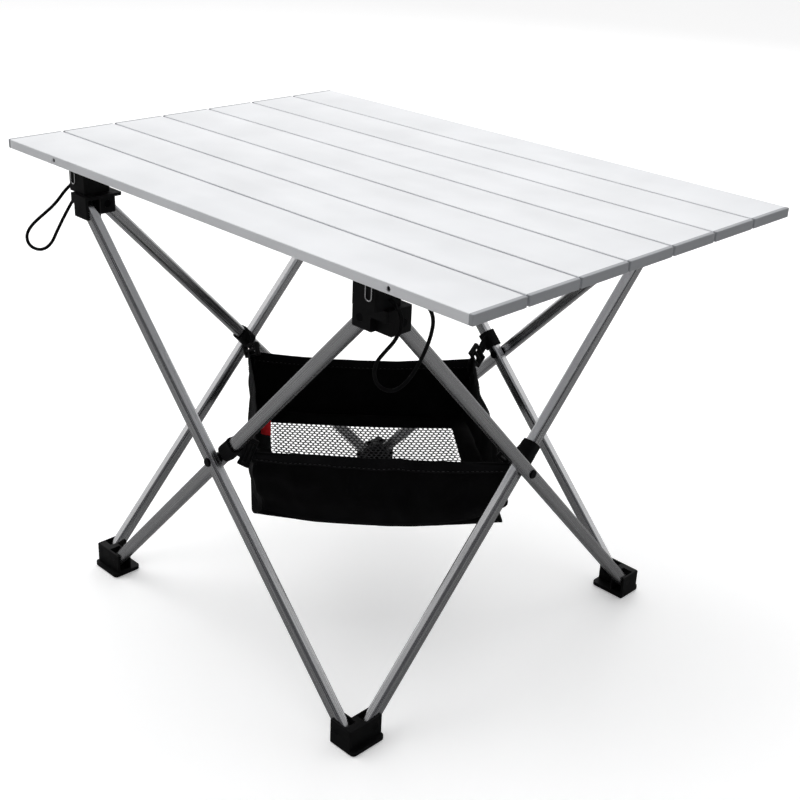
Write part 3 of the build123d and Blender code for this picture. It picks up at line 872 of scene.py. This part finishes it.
# ---- Straps ----
class CAMPTABLE_OT_straps(bpy.types.Operator):
    """Makes the webbing bands on the tubes, the tails to the basket and their buckles"""
    bl_idname = "camptable.straps"
    bl_label = "Straps and buckles"

    def execute(self, context):
        webbing = woven("webbing_weave", shade(finishes().fabric_colour, 1.8), 0.0016, 0.0003, 0.015)
        plastic = moulded("buckle_nylon", finishes().plastic_colour)
        for side in SIDES:
            band = self.make_band(side, webbing)
            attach(band, f"tube_{side}_inner")
            start, end = self.tail_ends(side)
            middle = start.lerp(end, 0.5)
            half_buckle = (end - start).normalized() * TAIL_GAP
            tail = self.make_tail(f"strap_tail_{side}", start, middle - half_buckle, webbing)
            link = self.make_tail(f"strap_link_{side}", middle, end, webbing)
            buckle = self.make_buckle(side, start, end, plastic)
            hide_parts(f"corner_strap_{side}")
            for piece, slot in ((tail, "webbing"), (link, "webbing"), (buckle, "moulded_black")):
                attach(piece, f"basket_{side}")
        return {"FINISHED"}

    def tail_ends(self, side):
        """Where the tail leaves the basket's corner, and where it meets the band."""
        crossing, up_tube = inner_tube_line(side)
        meets = crossing + up_tube * BAND_RISE - outward(side) * BAND_FACE
        corner = CORNERS[side] + UP * (RIM_Z - sizes().webbing_width / 2)
        sewn_in = (CENTRE - CORNERS[side]).normalized() * SEWN_IN
        return corner + sewn_in, meets

    def make_band(self, side, webbing):
        """A sleeve of webbing round the inner tube, just above the crossing."""
        size = sizes()
        crossing, up_tube = inner_tube_line(side)
        deep, tall = TUBE_DEEP + 2 * BAND_ROOM, TUBE_TALL + 2 * BAND_ROOM
        out = outward(side)
        turn = Matrix((out, up_tube.cross(out), up_tube)).transposed().to_4x4()
        place = Matrix.Translation(crossing + up_tube * BAND_RISE) @ turn
        form = bmesh.new()
        layer = form.loops.layers.uv.new("UVMap")
        bmesh.ops.create_cube(form, size=1, matrix=Matrix.Diagonal((deep, tall, size.webbing_width, 1)))
        ends = [face for face in form.faces if abs(face.normal.z) > 0.5]
        bmesh.ops.delete(form, geom=ends, context="FACES_ONLY")
        long_edges = [edge for edge in form.edges
                      if abs((edge.verts[0].co - edge.verts[1].co).normalized().z) > 0.5]
        bmesh.ops.bevel(form, geom=long_edges, offset=BAND_CORNER, segments=5, profile=0.5,
                        affect="EDGES", material=-1)
        rings = [edge for edge in form.edges
                 if abs((edge.verts[0].co - edge.verts[1].co).normalized().z) > 0.5]
        bmesh.ops.subdivide_edges(form, edges=rings, cuts=7, use_grid_fill=True)
        for vert in form.verts:
            waist = noise.noise(vert.co * 160 + Vector((SIDES[side], 0, 0)))
            vert.co.x *= 1 + 0.05 * waist
            vert.co.y *= 1 + 0.05 * waist
        for face in form.faces:
            for loop in face.loops:
                at = loop.vert.co
                loop[layer].uv = (math.atan2(at.y, at.x) * deep / 2, at.z)
        bmesh.ops.transform(form, matrix=place, verts=form.verts)
        band = new_piece(f"strap_band_{side}", form, webbing, 50)
        thicken(band, size.webbing_thickness, 1.0)
        soften(band, 0.3 * MM)
        return freeze(band)

    def make_tail(self, name, start, end, webbing):
        """A flat length of webbing, upright, with a slight twist and sag."""
        size = sizes()
        sideways = (end - start).cross(UP).normalized()

        def place(along, across):
            here = start.lerp(end, along)
            sway = noise.noise(Vector((along * 3, across, start.x * 40))) * 0.8 * MM
            sag = math.sin(math.pi * along) * 0.8 * MM
            return here + UP * ((across - 0.5) * size.webbing_width * 0.94 - sag) + sideways * sway

        form = cloth_grid(20, 8, (end - start).length, size.webbing_width, place)
        tail = new_piece(name, form, webbing, 50)
        thicken(tail, size.webbing_thickness)
        return freeze(tail)

    def make_buckle(self, side, start, end, plastic):
        """A ladder-lock buckle: two rails and three bars, rounded all over."""
        run = (end - start).normalized()
        face_out = run.cross(UP).normalized()
        turn = Matrix((face_out.cross(run), run, face_out)).transposed().to_4x4()
        place = Matrix.Translation(start.lerp(end, 0.5)) @ turn
        inner = BUCKLE_WIDE - BUCKLE_RAIL
        rails = [((way * inner / 2, 0, 0), (BUCKLE_RAIL, BUCKLE_DEEP, BUCKLE_THICK)) for way in (-1, 1)]
        bars = [((0, way * (BUCKLE_DEEP - BUCKLE_BAR) / 2, 0), (inner, BUCKLE_BAR, BUCKLE_THICK * 0.8))
                for way in (-1, 0, 1)]
        form = bmesh.new()
        for centre, extent in rails + bars:
            bmesh.ops.create_cube(form, size=1, matrix=place @ Matrix.Translation(centre)
                                  @ Matrix.Diagonal((*extent, 1)))
        buckle = new_piece(f"strap_buckle_{side}", form, plastic, 40)
        soften(buckle, BUCKLE_ROUND, 3)
        return freeze(buckle)


# ---- Tab ----
class CAMPTABLE_OT_tab(bpy.types.Operator):
    """Makes the small plain red tab and the dark care tab that hang inside the basket"""
    bl_idname = "camptable.tab"
    bl_label = "Tabs"

    def execute(self, context):
        red = woven("red_tab_weave", finishes().tab_colour, 0.0006, 0.0001, 0.2)
        dark = woven("dark_tab_weave", shade(finishes().fabric_colour, 2.5), 0.0006, 0.0001, 0.2)
        for material, (name, (along, width, length, below)) in zip((red, dark), TABS.items()):
            here, inward = along_rim("south_west", along)
            ahead = inward.cross(UP)

            def place(down, across):
                drop = below + length * down + TAB_SLANT * across
                curl = TAB_CURL * math.sin(math.pi * across) * down + TAB_SLANT * down ** 2
                return here + inward * (TAB_IN + width * across) - UP * drop + ahead * curl

            piece = new_piece(name, cloth_grid(10, 8, length, width, place), material, 60)
            thicken(piece, TAB_THICK)
            soften(piece, TAB_ROUND)
            freeze(piece)
            flatten_with_fold(piece, "basket_west")
        return {"FINISHED"}


# ---- Panel and registration ----
STEPS = (CAMPTABLE_OT_stage, CAMPTABLE_OT_cords, CAMPTABLE_OT_hard_parts, CAMPTABLE_OT_straps,
         CAMPTABLE_OT_basket_walls, CAMPTABLE_OT_basket_floor, CAMPTABLE_OT_tab)


class CAMPTABLE_PT_panel(bpy.types.Panel):
    """Lists the table's pieces, colours and sizes"""
    bl_idname = "CAMPTABLE_PT_panel"
    bl_label = "Camp kitchen table"
    bl_space_type = "VIEW_3D"
    bl_region_type = "UI"
    bl_category = "Camp Table"

    def draw(self, context):
        for step in STEPS:
            self.layout.operator(step.bl_idname)
        for group in (context.scene.camp_table_finishes, context.scene.camp_table_sizes):
            for name in group.__annotations__:
                self.layout.prop(group, name)


CLASSES = (CampTableFinishes, CampTableSizes, *STEPS, CAMPTABLE_PT_panel)


def register():
    """Registers the classes and hangs the settings on the scene."""
    for cls in CLASSES:
        bpy.utils.register_class(cls)
    bpy.types.Scene.camp_table_finishes = bpy.props.PointerProperty(type=CampTableFinishes)
    bpy.types.Scene.camp_table_sizes = bpy.props.PointerProperty(type=CampTableSizes)


def unregister():
    """Takes the settings and the classes away again."""
    del bpy.types.Scene.camp_table_sizes
    del bpy.types.Scene.camp_table_finishes
    for cls in reversed(CLASSES):
        bpy.utils.unregister_class(cls)


def main():
    """Builds everything."""
    register()
    bpy.ops.camptable.stage()
    bpy.ops.camptable.cords()
    bpy.ops.camptable.hard_parts()
    bpy.ops.camptable.straps()
    bpy.ops.camptable.basket_walls()
    bpy.ops.camptable.basket_floor()
    bpy.ops.camptable.tab()


if __name__ == "__main__":
    main()
